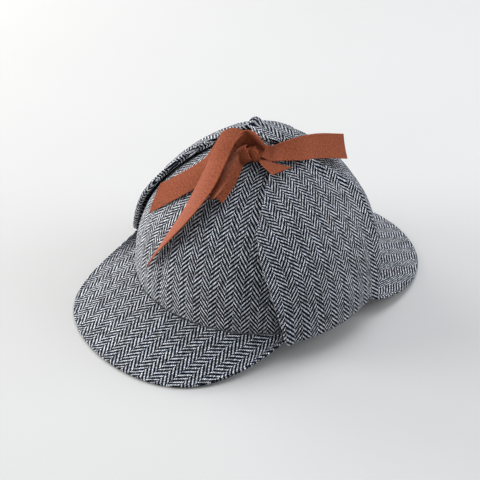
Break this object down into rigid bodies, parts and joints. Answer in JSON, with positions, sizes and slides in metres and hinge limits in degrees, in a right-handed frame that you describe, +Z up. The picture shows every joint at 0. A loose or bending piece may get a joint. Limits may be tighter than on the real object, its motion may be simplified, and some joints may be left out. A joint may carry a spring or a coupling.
{
  "type": "deerstalker hat",
  "caption": "Tweed deerstalker hat with front visor, back brim and ear flaps folded up over a gored crown, tied with a flat ribbon bow.",
  "frame": {"origin": "on the surface the hat lies on, in the middle of the hat's length and width; the middle of the crown's rim is 0.7 mm along +X and 5.8 mm along +Y from it", "axes": "+Z up; the wearer faces -Y, so the front visor points along -Y; the wearer's left is +X"},
  "size_m": [0.2004, 0.2824, 0.1355],
  "materials": {
    "crown_tweed": "navy-black and off-white herringbone wool tweed",
    "brim_tweed": "navy-black and off-white herringbone wool tweed, stitched at the edge",
    "flap_tweed": "navy-black and off-white herringbone wool tweed, two layers",
    "ribbon": "matt rust-coloured woven ribbon"
  },
  "bodies": {
    "root": {"crown_gore_1": "crown_tweed", "crown_gore_2": "crown_tweed", "crown_gore_3": "crown_tweed", "crown_gore_4": "crown_tweed", "crown_gore_5": "crown_tweed", "crown_gore_6": "crown_tweed", "front_visor": "brim_tweed", "back_brim": "brim_tweed", "ear_flap_left": "flap_tweed", "ear_flap_right": "flap_tweed", "ribbon_knot": "ribbon", "ribbon_arch_tail": "ribbon", "ribbon_long_tail": "ribbon", "ribbon_right_tail": "ribbon", "ribbon_short_tail": "ribbon", "ribbon_centre_fold": "ribbon", "ribbon_root_right": "ribbon", "ribbon_root_left": "ribbon"}
  },
  "joints": []
}
